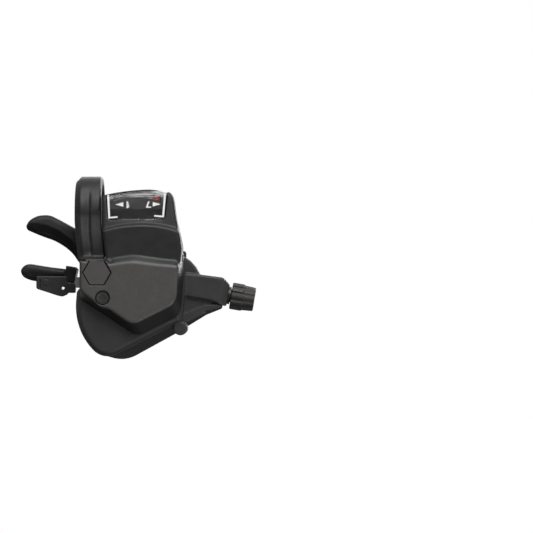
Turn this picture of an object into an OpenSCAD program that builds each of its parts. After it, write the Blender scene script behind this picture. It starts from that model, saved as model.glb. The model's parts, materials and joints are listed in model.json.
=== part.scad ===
// Two-lever thumb shifter for a bicycle, right-hand, seven positions.
// Origin: centre of the handlebar clamp bore. +X runs along the bar, inboard, +Z towards the
// clamp's top, and -Y is the side of the flat front cover. Millimetres.
// A polygon in this file is drawn as it looks from the front, with X to the right and Z up.

/* [Handlebar clamp] */
// Diameter of the handlebar that the clamp grips
bar_d = 22.2; // [22:0.1:22.4]
// Width of the clamp band along the bar
band_w = 10; // [9.6:0.1:10.2]
// Thickness of the clamp band
band_t = 3.05; // [2.8:0.05:3.1]
// Clear space kept round the bar beside the band
bar_gap = 0.5; // [0.4:0.1:0.6]

/* [Housing] */
// Distance of the flat front face ahead of the bar's centre
face_depth = 23; // [22.8:0.1:23.4]
// Thickness of the moulded walls
wall = 1.4; // [1.2:0.1:1.5]
// Thickness of the base plate
plate_t = 2; // [1.8:0.1:2]

/* [Indexing] */
// Number of gears
positions = 7; // [5:1:7]
// Angle between two gears at the cable drum
click = 20; // [20]
// Radius at which the cable runs round the drum
pull_r = 8.3; // [8.1:0.1:8.4]
// Radius of the main axle
axle_r = 3; // [2.9:0.05:3.05]
// Radial running clearance of everything that turns
run = 0.05; // [0.03:0.01:0.08]

/* [Indicator] */
// Gear module of the indicator drive
gear_m = 0.8; // [0.8]
// Length of the needle from its pivot to the middle of its marker
needle_l = 19.5; // [19:0.1:19.6]

/* [Cable adjuster] */
// Slope of the cable as it leaves the drum
cable_tilt = 9.6; // [9:0.1:10]
// Length of the adjuster's grip
grip_l = 9; // [8:0.5:10]
// Radius of the socket that takes the cable housing
socket_r = 2.6; // [2.5:0.05:2.8]

/* [Hidden] */

$fn = 64;
over = 1;
bore_r = bar_d / 2;
band_r = bore_r + band_t;
bar_clear = bore_r + bar_gap;
saddle_r = bar_clear + 0.8;

// Levels from front to back
y_face = -face_depth;
y_rim = -17;
y_split = -14.5;
y_wall = y_rim + wall;
y_base = -plate_t;
y_gear = [-14.6, -12.8];
y_needle = [-14, -13];
y_drum = [y_gear[1], -6.8];
y_ratchet = [y_drum[1], -4.8];
y_thumb = [1, 3];
y_release = [5.4, 7];
y_cap = [9.4, 10.4];
y_pad = [13.8, 20];
y_cable = -9.9;
z_neck_foot = -16;
boss_r = 5.2;

// Places seen from the front
cable_end = [53.3, -30.7];
drum_x = 15.3;
drum_at = [drum_x, cable_end[1] + (cable_end[0] - drum_x) * tan(cable_tilt)
    - pull_r / cos(cable_tilt)];
needle_at = [18.5, -13];
bolt_at = [4, -22.1];
cover_screw_at = [6.1, -31.4];
plate_screws = [[34.3, -42.6], [3.9, -47.9], [33.2, -20.6]];

// Indicator gear train
pressure = 25;
teeth = [12, 10, 34];
pitch_r = gear_m * teeth / 2;
tooth_up = 0.8 * gear_m;
tooth_down = 1.05 * gear_m;
backlash = 0.16;
idler_at = third_corner(drum_at, needle_at, pitch_r[0] + pitch_r[1], pitch_r[1] + pitch_r[2]);
mesh_1 = heading(drum_at, idler_at);
mesh_2 = heading(idler_at, needle_at);
idler_phase = mesh_1 + 180 + 180 / teeth[1];
needle_phase = mesh_2 + 180 + 180 / teeth[2]
    + wrap(mesh_2 - idler_phase, 360 / teeth[1]) * teeth[1] / teeth[2];
needle_swing = (positions - 1) * click * teeth[0] / teeth[2];
needle_first = -ceil((needle_swing + needle_phase - mesh_2 - 180) * teeth[2] / 360);
needle_rest = 90 - needle_swing / 2;

// Ratchet and pawls: angles are measured round the drum
tip_r = 10;
root_r = 8.6;
pawl_r = 13.3;
pawl_lift = 12;
hold_at = -8;
drive_at = 172;
face_at = hold_at + 29.6;
thumb_travel = 2 * click;
pin_r = 1.2;

// Outlines, anticlockwise, and the radius of each corner
face_pts = [[-2.2, -18.9], [-2.2, -28.4], [2.2, -31.9], [5.6, -34.4], [8.4, -34.9], [17.2, -40.9],
    [33.3, -33.2], [34, -18.9]];
face_r = [0.6, 2, 2, 2, 2, 3, 2.5, 1];
rim_pts = [[-2.8, -17], [-2.8, -31.4], [18.4, -46], [35.2, -37.4], [36.2, -17]];
rim_r = [0.6, 2, 4, 4, 0.6];
case_pts = [[9.2, -16], [9.2, -27], [-2.2, -27.2], [-3.7, -29.2], [-4.2, -41], [3.2, -53.2],
    [10, -53.9], [31.3, -42], [35.4, -40.4], [36.4, -30], [36.4, -16]];
case_r = [0, 0, 0.6, 0.6, 22, 11, 3, 1.5, 1.5, 0, 0.8];
plate_pts = [[9.6, -14], [9.6, -27.6], [-3.2, -28.9], [-3.6, -41], [3.4, -52.8], [9.5, -54.4],
    [14, -55.2], [32.6, -45], [44, -38], [50, -35.6], [50, -30.4], [36.4, -28], [36.4, -14]];
plate_r = [0.5, 0.5, 0.8, 22, 11, 1, 11.5, 0, 1, 1, 1, 0, 1];
neck_pts = [[5.4, 8.9], [5.4, -4], [7.2, -19.4], [36.2, -19.4], [35, -9.8], [33.3, -2.3],
    [32.2, 6.5], [30, 8.9]];
neck_r = [0.4, 3, 0, 0, 4, 4, 1.5, 0.5];
// The neck's section, drawn with Y to the right and Z up
section_pts = [[-2, -19.4], [-2, 8.8], [-16.9, 8.8], [-18.9, -5.2], [-20.2, -7.2],
    [-20.6, -17], [-23, -19.4]];
section_r = [0, 0, 3.5, 1, 0.8, 1.5, 0.4];
window_x = [8, 29.2];
window_bottom = -1.2;
lens_t = 0.7;
scale_t = 0.4;
paddle_pts = [[-26.8, -23.6], [-25.4, -24.7], [-20.6, -23.4], [-9.2, -23.4], [-8.4, -25],
    [-5.9, -25], [-4.8, -20.6], [-5.6, -20], [-8.9, -19.4], [-9.3, -20.6], [-18.6, -19],
    [-24.6, -18.2]];
paddle_round = [1.2, 1.2, 0.5, 0.5, 0.5, 0.5, 0.8, 0.4, 0.4, 0.3, 4, 3.5];
tab_pts = [[-20.4, -23.6], [-20.2, -28.2], [-10.8, -31.3], [-8, -29.9], [-5.5, -29.7],
    [-5.5, -25.2], [-8.2, -25.2], [-9, -23.6]];
tab_r = [0.3, 1, 1.5, 0.4, 0.8, 0.5, 0.3, 0.3];
pad_pts = [[-25.6, -3.8], [-24.8, -5.8], [-14.6, -9.8], [-8.4, -14], [-4.2, -19.4], [0.4, -21],
    [4.4, -17.6], [2.6, -11.4], [-6.6, -4.8], [-15.4, 0.2], [-21.2, -0.6]];
pad_r = [1.2, 1.2, 9, 4, 2, 1.5, 2, 5, 8, 3, 3];
thumb_pts = [[12.5, -26.6], [3, -25.6], [-4, -23.8], [-13, -23.8], [-13, -27.4], [-4, -27.9],
    [-0.6, -31.8], [2, -33.8], [12, -39]];
release_pts = [[11, -28.6], [6, -16.8], [-0.5, -18.6], [-0.5, -20.6], [3, -22.4], [9.4, -35]];

function unit(v) = v / norm(v);
function left(v) = [-v[1], v[0]];
function heading(a, b) = atan2(b[1] - a[1], b[0] - a[0]);
function polar(r, a) = r * [cos(a), sin(a)];
function wrap(a, step) = a - step * floor(a / step);
function arc(c, r, a0, a1, n) = [for (i = [0:n]) c + polar(r, a0 + (a1 - a0) * i / n)];

// Corner of a triangle on a and b, at distance ra from a and rb from b, right of a to b
function third_corner(a, b, ra, rb) =
    let (d = norm(b - a), u = (b - a) / d, t = (d * d + ra * ra - rb * rb) / (2 * d))
    a + t * u - sqrt(ra * ra - t * t) * left(u);

// Outline moved inwards by d
function inset(p, d) = [
    for (i = [0:len(p) - 1])
        let (
            a = p[(i + len(p) - 1) % len(p)],
            b = p[i],
            c = p[(i + 1) % len(p)],
            n1 = left(unit(b - a)),
            n2 = left(unit(c - b))
        )
        b + d * (n1 + n2) / (1 + n1 * n2)
];

// Outline with its corners rounded to the radii r
function rounded(p, r, n = 5) = [
    for (i = [0:len(p) - 1])
        let (
            b = p[i],
            u = unit(p[(i + len(p) - 1) % len(p)] - b),
            v = unit(p[(i + 1) % len(p)] - b),
            half = acos(u * v) / 2,
            c = b + unit(u + v) * r[i] / sin(half),
            a0 = heading(c, b + u * r[i] / tan(half)),
            turn = wrap(heading(c, b + v * r[i] / tan(half)) - a0 + 180, 360) - 180
        )
        each r[i] < 0.05 ? [b] : arc(c, r[i], a0, a0 + turn, n)
];
function shrunk(r, d) = [for (x = r) max(0, x - d)];

// Involute gear: half the angle that a tooth fills at radius r
function involute(a) = tan(a) * 180 / PI - a;
function half_tooth(z, r) =
    let (rp = gear_m * z / 2, rb = rp * cos(pressure))
    90 / z - (backlash / 4) / rp * 180 / PI + involute(pressure) - involute(acos(rb / max(r, rb)));
function flank_r(z, i) =
    let (rp = gear_m * z / 2, low = max(rp * cos(pressure), rp - tooth_down))
    low + (rp + tooth_up - low) * i / 5;
function tooth(z, a) = concat(
    [polar(gear_m * z / 2 - tooth_down, a - half_tooth(z, flank_r(z, 0)))],
    [for (i = [0:5]) polar(flank_r(z, i), a - half_tooth(z, flank_r(z, i)))],
    [for (i = [5:-1:0]) polar(flank_r(z, i), a + half_tooth(z, flank_r(z, i)))],
    [polar(gear_m * z / 2 - tooth_down, a + half_tooth(z, flank_r(z, 0)))]
);
function gear_pts(z, phase, first, last) = [
    for (i = [first:last]) each tooth(z, phase + i * 360 / z)
];

// Extrudes a front view from y0 to y1
module slab(y0, y1) {
    translate([0, y1, 0]) rotate([90, 0, 0]) linear_extrude(y1 - y0) children();
}

// Extrudes a section, drawn with Y to the right and Z up, from x0 to x1
module along_bar(x0, x1) {
    translate([x0, 0, 0]) rotate([90, 0, 90]) linear_extrude(x1 - x0) children();
}

// Round bar parallel to Y at the place p
module rod(p, y0, y1, r) {
    translate([p[0], y0, p[1]]) rotate([-90, 0, 0]) cylinder(r = r, h = y1 - y0);
}

// Hexagonal prism parallel to Y, af across its flats
module hex_rod(p, y0, y1, af) {
    translate([p[0], y0, p[1]]) rotate([-90, 0, 0]) cylinder(r = af / sqrt(3), h = y1 - y0, $fn = 6);
}

// Round bar along the handlebar
module bar(r, x0, x1) {
    translate([x0, 0, 0]) rotate([0, 90, 0]) cylinder(r = r, h = x1 - x0, $fn = 96);
}

// Puts its children on the cable line, with +Z pointing out of the shifter
module on_cable(s) {
    translate([cable_end[0], y_cable, cable_end[1]])
        rotate([0, 90 + cable_tilt, 0]) translate([0, 0, s]) children();
}

// Slot of half width r that follows an arc round the drum
module arc_slot(radius, a0, a1, r, y0, y1) {
    slab(y0, y1) polygon(concat(
        arc(drum_at, radius + r, a0, a1, 12),
        arc(drum_at + polar(radius, a1), r, a1, a1 + 180, 8),
        arc(drum_at, radius - r, a1, a0, 12),
        arc(drum_at + polar(radius, a0), r, a0 + 180, a0 + 360, 8)
    ));
}

// Wound spring round a line parallel to Y, with a straight leg at each end
module coil(p, y0, y1, r, wire, turns, start, leg) {
    steps = 20;
    sides = 6;
    n = steps * turns;
    middle = [
        for (i = [0:n]) let (a = start + i * 360 / steps, d = polar(r, a))
            [p[0] + d[0], y0 + wire / 2 + (y1 - y0 - wire) * i / n, p[1] + d[1]]
    ];
    first = middle[0] - leg * [-sin(start), 0, cos(start)];
    finish = start + n * 360 / steps;
    last = middle[n] + leg * [-sin(finish), 0, cos(finish)];
    path = concat([first], middle, [last]);
    m = len(path);
    points = [
        for (i = [0:m - 1])
            let (
                t = unit(path[min(i + 1, m - 1)] - path[max(i - 1, 0)]),
                s = unit(cross(t, [0, 1, 0])),
                w = cross(s, t)
            )
            for (k = [0:sides - 1])
                path[i] + wire / 2 * (cos(k * 360 / sides) * s + sin(k * 360 / sides) * w)
    ];
    skin = [
        for (i = [0:m - 2]) for (k = [0:sides - 1])
            let (j = (k + 1) % sides)
            [i * sides + k, (i + 1) * sides + k, (i + 1) * sides + j, i * sides + j]
    ];
    ends = [[for (k = [0:sides - 1]) k], [for (k = [sides - 1:-1:0]) (m - 1) * sides + k]];
    polyhedron(points, concat(skin, ends));
}

// The neck as a solid, with its walls moved inwards by d
module neck(d) {
    intersection() {
        along_bar(0, 40) polygon(rounded(inset(section_pts, d), shrunk(section_r, d)));
        slab(-30, 5) polygon(rounded(inset(neck_pts, d), shrunk(neck_r, d)));
    }
}

module neck_shell() {
    difference() {
        neck(0);
        difference() {
            neck(wall);
            bar(saddle_r, -over, 45);
        }
        bar(bar_clear, -over, 45);
    }
}

// Curved sheet under the neck's front surface, between the depths d0 and d1
module window_sheet(d0, d1, side) {
    difference() {
        intersection() {
            along_bar(window_x[0] + side, window_x[1] - side)
                polygon(rounded(inset(section_pts, d0), shrunk(section_r, d0)));
            slab(-25, -12.6) translate([0, window_bottom + side])
                square([40, 12]);
        }
        along_bar(0, 40) polygon(rounded(inset(section_pts, d1), shrunk(section_r, d1)));
    }
}

module front_cover() {
    color([0.28, 0.28, 0.27]) difference() {
        union() {
            difference() {
                hull() {
                    slab(y_face, y_face + 0.02) polygon(rounded(face_pts, face_r));
                    slab(y_rim - 1.2, y_rim) polygon(rounded(rim_pts, rim_r));
                }
                hull() {
                    slab(y_face + wall, y_face + wall + 0.02)
                        polygon(rounded(inset(face_pts, wall), shrunk(face_r, wall)));
                    slab(y_rim - 1, y_rim + over)
                        polygon(rounded(inset(rim_pts, wall), shrunk(rim_r, wall)));
                }
            }
            rod(cover_screw_at, y_face + 0.4, y_rim, 3.2);
            intersection() {
                neck_shell();
                translate([0, -30, -30]) cube([50, 30 + y_split, 60]);
            }
        }
        // Seat on the housing, and room for the clamp lug
        translate([-10, y_rim, -30]) cube([60, 10, 30 - 16]);
        translate([-0.8, y_face + wall, -28]) cube([9.6, 8, 11.6]);
        hex_rod(bolt_at, y_face - over, y_face + 4, 8.9);
        rod(cover_screw_at, y_face - over, y_face + 2.4, 2.5);
        rod(cover_screw_at, y_face - over, y_rim + over, 1.25);
        intersection() {
            window_sheet(-1, lens_t + scale_t, 0);
            slab(-30, -5) square(60, center = true);
        }
        translate([window_x[0], y_split - 3, 6]) cube([window_x[1] - window_x[0], 5, 4]);
    }
}

module case_cavity(y0, y1) {
    slab(y0, y1) polygon(rounded(inset(case_pts, wall), shrunk(case_r, wall)));
    rod(drum_at, y0, y1, tip_r + 0.7);
}

module main_housing() {
    color([0.25, 0.25, 0.25]) difference() {
        union() {
            difference() {
                case_block();
                case_cavity(y_wall, over);
                on_cable(-20) cylinder(r = 1.1, h = 20);
            }
            // Wing under the cable boss
            difference() {
                slab(-12.6, y_base) polygon(rounded([[35, -40.6], [43.6, -37.2], [49.4, -34.9],
                    [50, -31], [35, -28]], [0, 1, 1, 0.5, 0]));
                on_cable(-22) cylinder(r = boss_r, h = 24);
                case_cavity(y_wall, over);
            }
            // Tab that carries the needle's pivot, and the screw bosses
            slab(y_rim, y_wall) translate([needle_at[0] - 3.2, -17]) square([6.4, 7]);
            rod(needle_at, y_wall, -15, 2.4);
            rod(idler_at, y_wall, -15, 2.4);
            rod(cover_screw_at, y_wall, -14.9, 2.2);
            for (p = plate_screws) rod(p, -12, y_base, 2.2);
        }
        needle_way();
        rod(needle_at, y_rim - over, 0, 1.2);
        rod(idler_at, y_rim - over, 0, 1.5);
        rod(cover_screw_at, y_rim - over, -14, 1.25);
        for (p = plate_screws) rod(p, -10, over, 1.1);
        on_cable(-20) cylinder(r = 1.1, h = 20);
    }
}

module case_block() {
    slab(y_rim, y_base) polygon(rounded(case_pts, case_r));
    rod(drum_at, y_rim, y_base, tip_r + 1.7);
}

// Way for the needle between the case and the neck
module needle_way() {
    translate([9.6, -15.2, -18.2]) cube([24.6, 3.4, 4]);
}

// Back half of the neck, which bears on the handlebar
module indicator_housing() {
    color([0.24, 0.24, 0.25]) difference() {
        intersection() {
            neck_shell();
            translate([0, y_split, z_neck_foot]) cube([50, 20, 40]);
        }
        needle_way();
        translate([window_x[0], y_split - over, 6]) cube([window_x[1] - window_x[0], 1.9 + over, 4]);
        rod(needle_at, y_rim - over, 0, 1.2);
        bar(bar_clear, -over, 45);
    }
}

// Boss and fin that hold the cable adjuster
module cable_boss() {
    color([0.23, 0.23, 0.24]) difference() {
        union() {
            on_cable(-19) cylinder(r = boss_r, h = 17.2);
            on_cable(-1.8) cylinder(r1 = boss_r, r2 = 4.4, h = 0.9);
            slab(-13, -6.8) polygon(concat([[35, -27], [35, -17]],
                arc([34, -26.4], 9.4, 60, 12, 6)));
        }
        case_block();
        case_cavity(y_wall, over);
        on_cable(-12.5) cylinder(r = 2.58, h = 14);
        on_cable(-3.9) cylinder(r = 3.4, h = 6);
        on_cable(-20) cylinder(r = 1.1, h = 20);
    }
}

module base_plate() {
    color([0.22, 0.22, 0.23]) difference() {
        union() {
            slab(y_base, 0) polygon(rounded(plate_pts, plate_r));
            rod(plate_screws[0], y_base, 0, 2.6);
        }
        rod(drum_at, y_base - over, over, axle_r);
        arc_slot(pawl_r, drive_at - 3, drive_at + thumb_travel + 3, pin_r + 0.3, y_base - over, over);
        rod(drum_at + polar(pawl_r, hold_at), y_base - over, over, pin_r);
        for (p = plate_screws) rod(p, y_base - over, over, 1.4);
        bar(bar_clear, -over, 45);
    }
}

// Clamp lugs: tangent strap in front, hinge side behind, both ended round the bolt
module lug_blank(y0, y1) {
    difference() {
        union() {
            slab(y0, y1) polygon([[-0.6, -16.4], [-0.6, -24.6], [1.6, -26.7], [6.4, -26.7],
                [8.6, -24.6], [8.6, -17.6], [6.6, -16.4]]);
            slab(y0, y1) polygon([[-4.2, -3], [-3.4, -16.8], [6.6, -16.9], [4.9, -3]]);
        }
        rod(drum_at, y0 - over, y1 + over, tip_r + 1.8);
    }
}

module clamp_band() {
    half = band_w / 2;
    color([0.2, 0.2, 0.19]) difference() {
        union() {
            rotate([0, 90, 0]) rotate_extrude($fn = 128) polygon([
                [bore_r, -half], [band_r - 0.9, -half], [band_r, 0.8 - half], [band_r, 0.2],
                [band_r - 0.5, 0.8], [band_r, 1.4], [band_r - 0.2, half - 1],
                [band_r - 1, half], [bore_r, half]
            ]);
            intersection() {
                lug_blank(-24, -9);
                along_bar(-10, 20) polygon([[-14.1, 0], [-15, -6], [-17.4, -13], [-20.4, -16.9],
                    [-20.4, -28], [-5, -28], [-5, 0]]);
            }
            intersection() {
                lug_blank(-7.5, 2);
                along_bar(-10, 20) polygon([[-12, -8], [-12, -28], [-0.2, -28], [-0.2, -18],
                    [2, -13.9], [2, -8]]);
            }
        }
        bar(bore_r, -20, 20);
        bar(bar_clear, half, 20);
        bar(bar_clear, -20, -half);
        translate([-10, -9, -30]) cube([20, 1.5, 30]);
        rod(bolt_at, -30, 10, 2.75);
        hex_rod(bolt_at, -22, -17.2, 8.1);
        rod(bolt_at, -3.2, 5, 3.75);
    }
}

module clamp_bolt() {
    color([0.62, 0.63, 0.65]) difference() {
        union() {
            rod(bolt_at, -20.2, -3.2, 2.5);
            rod(bolt_at, -3.2, 0.3, 3.6);
        }
        hex_rod(bolt_at, -2.4, over, 4);
    }
}

module clamp_nut() {
    color([0.62, 0.63, 0.65]) difference() {
        hex_rod(bolt_at, -20.4, -17.2, 8);
        rod(bolt_at, -22, -15, 2.5);
    }
}

module hex_cap() {
    color([0.27, 0.27, 0.26]) difference() {
        hex_rod(bolt_at, y_face, -20.5, 8.6);
        rod(bolt_at, -21.4, -20, 3);
    }
}

module cover_screw() {
    color([0.1, 0.1, 0.1]) difference() {
        union() {
            rod(cover_screw_at, -22.2, y_face + 2.4, 2.3);
            rod(cover_screw_at, y_face + 2.4, -14.9, 1.25);
        }
        for (a = [0, 90]) translate([cover_screw_at[0], -22.3, cover_screw_at[1]])
            rotate([0, a, 0]) cube([2.6, 1.6, 0.6], center = true);
    }
}

module base_screws() {
    color([0.55, 0.56, 0.58]) for (p = plate_screws) difference() {
        union() {
            rod(p, -9.5, y_base, 1.1);
            rod(p, y_base, 0, 1.1);
            rod(p, 0, 0.9, 2.1);
        }
        for (a = [0, 90]) translate([p[0], 0.8, p[1]]) rotate([0, a, 0])
            cube([2.4, 0.9, 0.5], center = true);
    }
}

module indicator_window() {
    color([0.1, 0.1, 0.12, 0.5]) window_sheet(0, lens_t, 0.05);
}

module indicator_scale() {
    color([0.06, 0.06, 0.07]) difference() {
        window_sheet(lens_t, lens_t + scale_t, 0.05);
        slab(-30, 0) polygon(concat(
            arc(needle_at, needle_l + 1.1, needle_rest - 3.5, 183.5 - needle_rest, 12),
            arc(needle_at, needle_l - 1.2, 183.5 - needle_rest, needle_rest - 3.5, 12)
        ));
    }
}

module indicator_needle() {
    tip = needle_l + 0.9;
    half = 4;
    color([0.85, 0.25, 0.18]) difference() {
        union() {
            slab(y_needle[0], y_needle[1]) translate(needle_at) {
                polygon(concat([[0, 0]], gear_pts(teeth[2], needle_phase, needle_first, 0)));
                polygon([polar(2.6, needle_rest - 80), polar(tip - 2.1, needle_rest - 2.2),
                    polar(tip - 1.7, needle_rest - half), polar(tip, needle_rest - half),
                    polar(tip, needle_rest + half), polar(tip - 1.7, needle_rest + half),
                    polar(tip - 2.1, needle_rest + 2.2), polar(2.6, needle_rest + 80)]);
            }
            rod(needle_at, -14.9, y_needle[1], 2.8);
        }
        rod(needle_at, -20, 0, 1.2 + run);
    }
}

module needle_pin() {
    color([0.7, 0.7, 0.7]) {
        rod(needle_at, y_rim, -12.9, 1.2);
        rod(needle_at, y_rim - 0.8, y_rim, 2.2);
    }
}

module idler_gear() {
    color([0.9, 0.9, 0.88]) difference() {
        slab(-14.4, -12.95) translate(idler_at)
            polygon(gear_pts(teeth[1], idler_phase, 0, teeth[1] - 1));
        rod(idler_at, -20, 0, 1.5 + run);
    }
}

module idler_pin() {
    color([0.7, 0.7, 0.7]) {
        rod(idler_at, y_rim, -12.95, 1.5);
        rod(idler_at, y_rim - 0.8, y_rim, 2.4);
    }
}

module drum_pinion() {
    color([0.9, 0.9, 0.88]) difference() {
        slab(y_gear[0], y_gear[1]) translate(drum_at)
            polygon(gear_pts(teeth[0], mesh_1, 0, teeth[0] - 1));
        rod(drum_at, -20, 0, axle_r + run);
    }
}

module cable_drum() {
    flange = pull_r + 1;
    y_mid = y_cable;
    color([0.85, 0.84, 0.8]) difference() {
        translate([drum_at[0], 0, drum_at[1]]) rotate([-90, 0, 0]) rotate_extrude($fn = 96)
            polygon([[axle_r + run, y_drum[0]], [flange, y_drum[0]], [flange, y_mid - 1.2],
                [pull_r - 0.6, y_mid - 0.6], [pull_r - 0.6, y_mid + 0.6], [flange, y_mid + 1.2],
                [flange, y_drum[1]], [axle_r + run, y_drum[1]]]);
        // Pocket for the cable's head
        rod(drum_at + polar(6.2, 205), y_mid - 2.3, y_drum[1] + over, 2.2);
    }
}

module ratchet_wheel() {
    color([0.6, 0.61, 0.63]) difference() {
        slab(y_ratchet[0], y_ratchet[1]) translate(drum_at) polygon([
            for (a = [face_at:click:face_at + 359])
                each [polar(root_r, a), polar(tip_r, a), polar((tip_r + root_r) / 2, a + click / 2)]
        ]);
        rod(drum_at, -20, 0, axle_r + run);
        for (a = [45, 165, 285]) rod(drum_at + polar(5.9, a), -10, 0, 1);
    }
}

module main_axle() {
    color([0.62, 0.63, 0.65]) {
        rod(drum_at, y_wall, y_gear[0] - 0.2, 4.2);
        rod(drum_at, y_gear[0] - 0.2, y_cap[0], axle_r);
        rod(drum_at, y_cap[0], 13.8, 2.5);
    }
}

module drum_spring() {
    color([0.7, 0.71, 0.72]) coil(drum_at, -4.5, -2.3, 5.2, 0.6, 3, 90, 2.4);
}

// A pawl in its engaged place, pivot at pawl_r from the drum at angle 0
module pawl_shape() {
    pivot = [pawl_r, 0];
    polygon(concat(
        [polar(8.85, 27), polar(10.9, 27)],
        arc(pivot, 2, 75, -150, 14),
        [polar(10.6, 6), polar(9.6, 16)]
    ));
}

module pawl(at) {
    pivot = drum_at + polar(pawl_r, at);
    color([0.6, 0.61, 0.63]) difference() {
        slab(y_ratchet[0] + 0.1, y_ratchet[1] - 0.1)
            translate(pivot) rotate(-pawl_lift) translate(-pivot)
            translate(drum_at) rotate(at) pawl_shape();
        rod(pivot, -20, 0, pin_r + run);
    }
}

// Pivot of a pawl, riveted at its back and headed in front of the pawl
module pawl_pin(at, y_back) {
    pivot = drum_at + polar(pawl_r, at);
    color([0.7, 0.7, 0.7]) {
        rod(pivot, y_ratchet[0] - 0.1, y_back, pin_r);
        rod(pivot, y_ratchet[0] - 0.9, y_ratchet[0] - 0.1, 1.9);
    }
}

module pawl_spring(at) {
    color([0.75, 0.75, 0.76]) coil(drum_at + polar(pawl_r, at), -4.7, -2.9, 1.75, 0.4, 3, at + 40, 1.4);
}

module hold_pawl() {
    pawl(hold_at);
}

module hold_pawl_pin() {
    pawl_pin(hold_at, 0);
}

module hold_pawl_spring() {
    pawl_spring(hold_at);
}

module drive_pawl() {
    pawl(drive_at);
}

module drive_pawl_pin() {
    pawl_pin(drive_at, y_thumb[1]);
}

module drive_pawl_spring() {
    pawl_spring(drive_at);
}

module thumb_arm() {
    color([0.78, 0.79, 0.8]) difference() {
        slab(y_thumb[0], y_thumb[1]) union() {
            polygon(thumb_pts);
            translate(drum_at) circle(r = 6.4);
        }
        rod(drum_at, -5, 8, axle_r + run);
        rod(drum_at + polar(pawl_r, drive_at), -5, 8, pin_r);
    }
}

module arm_slot() {
    slab(y_thumb[0], y_thumb[1]) polygon(thumb_pts);
}

module thumb_paddle() {
    color([0.23, 0.23, 0.22]) difference() {
        slab(0.6, 10.6) polygon(rounded(paddle_pts, paddle_round));
        arm_slot();
    }
}

module paddle_plate() {
    color([0.25, 0.25, 0.24]) difference() {
        slab(0.8, 4.6) polygon(rounded(tab_pts, tab_r));
        arm_slot();
        slab(0, 11) polygon(rounded(paddle_pts, paddle_round));
        rod([-10.3, -27.9], -over, 8, 0.6);
        rod([-16.8, -25.8], -over, 8, 1.2);
    }
}

module paddle_rivet() {
    color([0.24, 0.24, 0.24]) rod([-16.8, -25.8], 0.5, 4.6, 1.2);
}

module thumb_spring() {
    color([0.7, 0.71, 0.72]) coil(drum_at, 3.2, 5.2, 5.2, 0.7, 2, 100, 3);
}

module release_arm() {
    color([0.78, 0.79, 0.8]) difference() {
        union() {
            slab(y_release[0], y_release[1]) union() {
                polygon(release_pts);
                translate(drum_at) circle(r = 6);
            }
            // Leg that steps back behind the bar, and the tongue inside the pad
            slab(y_release[1], 16.4) polygon([[4.2, -18.1], [-0.5, -19.4], [-0.5, -20.6], [4.2, -19.6]]);
            slab(14.8, 16.4) polygon([[4.2, -19.6], [3.2, -14], [-7, -8.6], [-17, -3.6], [-18, -5.6],
                [-8, -11.4], [-0.5, -20.6]]);
        }
        rod(drum_at, -5, 18, axle_r + run);
    }
}

module release_pad() {
    color([0.23, 0.23, 0.22]) difference() {
        slab(y_pad[0], y_pad[1]) polygon(rounded(pad_pts, pad_r));
        slab(14.8, 16.4) polygon([[4.2, -19.6], [3.2, -14], [-7, -8.6], [-17, -3.6], [-18, -5.6],
            [-8, -11.4], [-0.5, -20.6]]);
        slab(y_release[1], 16.4) polygon([[4.2, -18.1], [-0.5, -19.4], [-0.5, -20.6], [4.2, -19.6]]);
        bar(band_r + 0.3, -10, 10);
    }
}

module release_spring() {
    color([0.7, 0.71, 0.72]) coil(drum_at, 7.2, 9.2, 5, 0.7, 2, 100, 2.6);
}

module base_washer() {
    color([0.65, 0.66, 0.68]) difference() {
        rod(drum_at, 0, 0.9, 5);
        rod(drum_at, -5, 8, axle_r);
    }
}

module front_spacer() {
    color([0.65, 0.66, 0.68]) difference() {
        rod(drum_at, 3.1, 5.3, 4.2);
        rod(drum_at, -5, 8, axle_r);
    }
}

module rear_spacer() {
    color([0.65, 0.66, 0.68]) difference() {
        rod(drum_at, 7.1, y_cap[0], 4.2);
        rod(drum_at, 0, 12, axle_r);
    }
}

module lever_cap() {
    color([0.2, 0.2, 0.2]) difference() {
        rod(drum_at, 7.6, y_cap[1], 9.2);
        rod(drum_at, 7, y_cap[0], 8.4);
        rod(drum_at, 7, 12, 2.5);
    }
}

module axle_nut() {
    color([0.65, 0.66, 0.68]) difference() {
        hex_rod(drum_at, y_cap[1], 13.6, 8);
        rod(drum_at, 7, 16, 2.5);
    }
}

module barrel_adjuster() {
    ribs = 12;
    color([0.34, 0.33, 0.31]) on_cable(0) difference() {
        union() {
            translate([0, 0, -11]) cylinder(r = 2.5, h = 11.1);
            cylinder(r = 4.5, h = 5);
            translate([0, 0, 5]) cylinder(r1 = 4.5, r2 = 4.15, h = grip_l - 5);
            for (i = [0:ribs - 1]) rotate(i * 360 / ribs)
                translate([3.6, -0.65, 0.2]) cube([1.45, 1.3, 4.8]);
        }
        translate([0, 0, -12]) cylinder(r = 0.9, h = 30);
        translate([0, 0, grip_l - 6]) cylinder(r = socket_r, h = 10);
    }
}

module detent_collar() {
    color([0.12, 0.12, 0.12]) on_cable(-3.6) difference() {
        cylinder(r = 3.3, h = 3.4);
        translate([0, 0, -over]) cylinder(r = 2.5 + run, h = 8);
        translate([2.9, -2, -over]) cube([2, 4, 2.6]);
    }
}

front_cover();
main_housing();
indicator_housing();
cable_boss();
base_plate();
clamp_band();
clamp_bolt();
clamp_nut();
hex_cap();
cover_screw();
base_screws();
indicator_window();
indicator_scale();
indicator_needle();
needle_pin();
idler_gear();
idler_pin();
drum_pinion();
cable_drum();
ratchet_wheel();
main_axle();
drum_spring();
hold_pawl();
hold_pawl_pin();
hold_pawl_spring();
drive_pawl();
drive_pawl_pin();
drive_pawl_spring();
thumb_arm();
thumb_paddle();
paddle_plate();
paddle_rivet();
thumb_spring();
release_arm();
release_pad();
release_spring();
base_washer();
front_spacer();
rear_spacer();
lever_cap();
axle_nut();
barrel_adjuster();
detent_collar();
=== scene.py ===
import json
import math

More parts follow.
